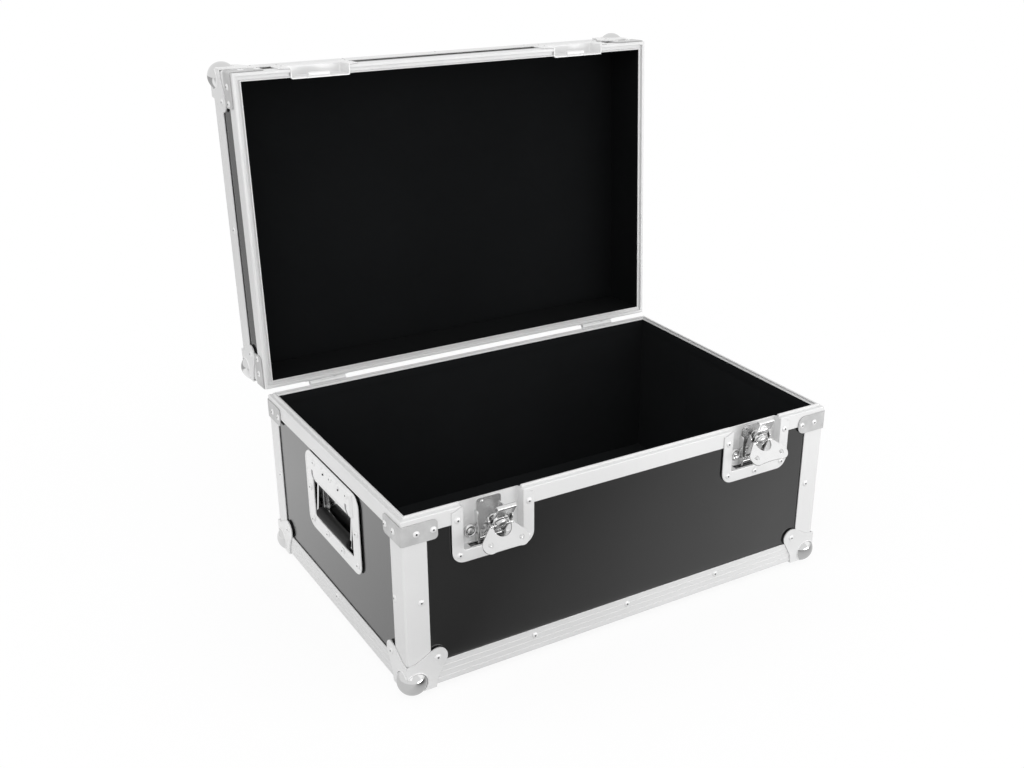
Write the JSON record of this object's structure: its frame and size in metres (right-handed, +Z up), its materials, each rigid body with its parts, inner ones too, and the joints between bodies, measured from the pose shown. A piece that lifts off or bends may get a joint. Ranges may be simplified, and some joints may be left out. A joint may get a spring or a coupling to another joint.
{
  "type": "transport case",
  "caption": "Rigid edge-bound transport case of black laminated boards with recessed butterfly latches, recessed side handles, ball corners and a back-hinged lid, standing open",
  "frame": {"origin": "middle of the open case's outer box, on the ground under the bottom ball corners", "axes": "+Z up, the latches face -Y, the lid stands open over the back edge at +Y, +X to the right seen from the front"},
  "size_m": [0.616, 0.5462, 0.6364],
  "materials": {
    "laminate": "black laminate on plywood, fine grain, half gloss",
    "aluminium": "mill aluminium, softly brushed along its length",
    "galvanised_steel": "dull galvanised sheet",
    "zinc_plate": "bright zinc-plated pressed steel",
    "grip": "matt black grip"
  },
  "bodies": {
    "base": {"base_back_panel": "laminate", "base_ball_corner_back_left": "zinc_plate", "base_ball_corner_back_right": "zinc_plate", "base_ball_corner_front_left": "zinc_plate", "base_ball_corner_front_right": "zinc_plate", "base_bottom_angle_back": "aluminium", "base_bottom_angle_front": "aluminium", "base_bottom_angle_left": "aluminium", "base_bottom_angle_right": "aluminium", "base_bottom_panel": "laminate", "base_corner_brace_back_left": "galvanised_steel", "base_corner_brace_back_right": "galvanised_steel", "base_corner_brace_front_left": "galvanised_steel", "base_corner_brace_front_right": "galvanised_steel", "base_corner_post_back_left": "aluminium", "base_corner_post_back_right": "aluminium", "base_corner_post_front_left": "aluminium", "base_corner_post_front_right": "aluminium", "base_front_panel": "laminate", "base_left_panel": "laminate", "base_right_panel": "laminate", "base_rim_frame": "aluminium", "base_rim_front_middle": "aluminium", "handle_dish_left": "zinc_plate", "handle_dish_right": "zinc_plate", "hinge_base_leaf_left": "zinc_plate", "hinge_base_leaf_right": "zinc_plate", "latch_dish_left": "zinc_plate", "latch_dish_right": "zinc_plate"},
    "handle_left": {"handle_bail_left": "zinc_plate", "handle_grip_left": "grip"},
    "handle_right": {"handle_bail_right": "zinc_plate", "handle_grip_right": "grip"},
    "lid": {"hinge_lid_leaf_left": "zinc_plate", "hinge_lid_leaf_right": "zinc_plate", "latch_keeper_left": "zinc_plate", "latch_keeper_right": "zinc_plate", "lid_ball_corner_back_left": "zinc_plate", "lid_ball_corner_back_right": "zinc_plate", "lid_ball_corner_front_left": "zinc_plate", "lid_ball_corner_front_right": "zinc_plate", "lid_board_tray": "laminate", "lid_corner_brace_back_left": "galvanised_steel", "lid_corner_brace_back_right": "galvanised_steel", "lid_corner_brace_front_left": "galvanised_steel", "lid_corner_brace_front_right": "galvanised_steel", "lid_rim_frame": "aluminium", "lid_rim_front_middle": "aluminium", "lid_top_angle_back": "aluminium", "lid_top_angle_front": "aluminium", "lid_top_angle_left": "aluminium", "lid_top_angle_right": "aluminium"},
    "latch_carrier_left": {"latch_carrier_left": "zinc_plate"},
    "latch_carrier_right": {"latch_carrier_right": "zinc_plate"},
    "latch_hook_left": {"latch_hook_left": "zinc_plate"},
    "latch_hook_right": {"latch_hook_right": "zinc_plate"},
    "latch_hub_left": {"latch_hub_left": "zinc_plate"},
    "latch_hub_right": {"latch_hub_right": "zinc_plate"},
    "latch_wing_left": {"latch_wing_left": "zinc_plate"},
    "latch_wing_right": {"latch_wing_right": "zinc_plate"}
  },
  "joints": [
    {"name": "lid_hinge", "type": "hinge", "parent": "base", "child": "lid", "pos_m": [0, 0.16496, 0.228], "axis": [1, 0, 0], "range_deg": [0, 92.9]},
    {"name": "latch_tilt_left", "type": "hinge", "parent": "base", "child": "latch_carrier_left", "pos_m": [-0.188, -0.23154, 0.178], "axis": [1, 0, 0], "range_deg": [-35, 3]},
    {"name": "hub_turn_left", "type": "hinge", "parent": "latch_carrier_left", "child": "latch_hub_left", "pos_m": [-0.188, -0.25219, 0.20749], "axis": [0, -0.8192, -0.5736], "range_deg": [0, 180]},
    {"name": "hook_slide_left", "type": "slide", "parent": "latch_carrier_left", "child": "latch_hook_left", "axis": [0, -0.5736, 0.8192], "range_m": [-0.0035, 0]},
    {"name": "wing_fold_left", "type": "hinge", "parent": "latch_hub_left", "child": "latch_wing_left", "pos_m": [-0.188, -0.25793, 0.20347], "axis": [1, 0, 0], "range_deg": [-113, 64]},
    {"name": "latch_tilt_right", "type": "hinge", "parent": "base", "child": "latch_carrier_right", "pos_m": [0.188, -0.23154, 0.178], "axis": [1, 0, 0], "range_deg": [-20, 18]},
    {"name": "hub_turn_right", "type": "hinge", "parent": "latch_carrier_right", "child": "latch_hub_right", "pos_m": [0.188, -0.24385, 0.21183], "axis": [0, -0.9397, -0.342], "range_deg": [0, 180]},
    {"name": "hook_slide_right", "type": "slide", "parent": "latch_carrier_right", "child": "latch_hook_right", "axis": [0, -0.342, 0.9397], "range_m": [-0.0035, 0]},
    {"name": "wing_fold_right", "type": "hinge", "parent": "latch_hub_right", "child": "latch_wing_right", "pos_m": [0.188, -0.25043, 0.20944], "axis": [1, 0, 0], "range_deg": [-109, 68]},
    {"name": "handle_swing_left", "type": "hinge", "parent": "base", "child": "handle_left", "pos_m": [-0.294, -0.04604, 0.181], "axis": [0, 1, 0], "range_deg": [0, 85]},
    {"name": "handle_swing_right", "type": "hinge", "parent": "base", "child": "handle_right", "pos_m": [0.294, -0.04604, 0.181], "axis": [0, -1, 0], "range_deg": [0, 85]}
  ],
  "couplings": [
    {"joint": "hook_slide_left", "follows": "hub_turn_left", "m_per_rad": -0.0011141},
    {"joint": "hook_slide_right", "follows": "hub_turn_right", "m_per_rad": -0.0011141}
  ]
}
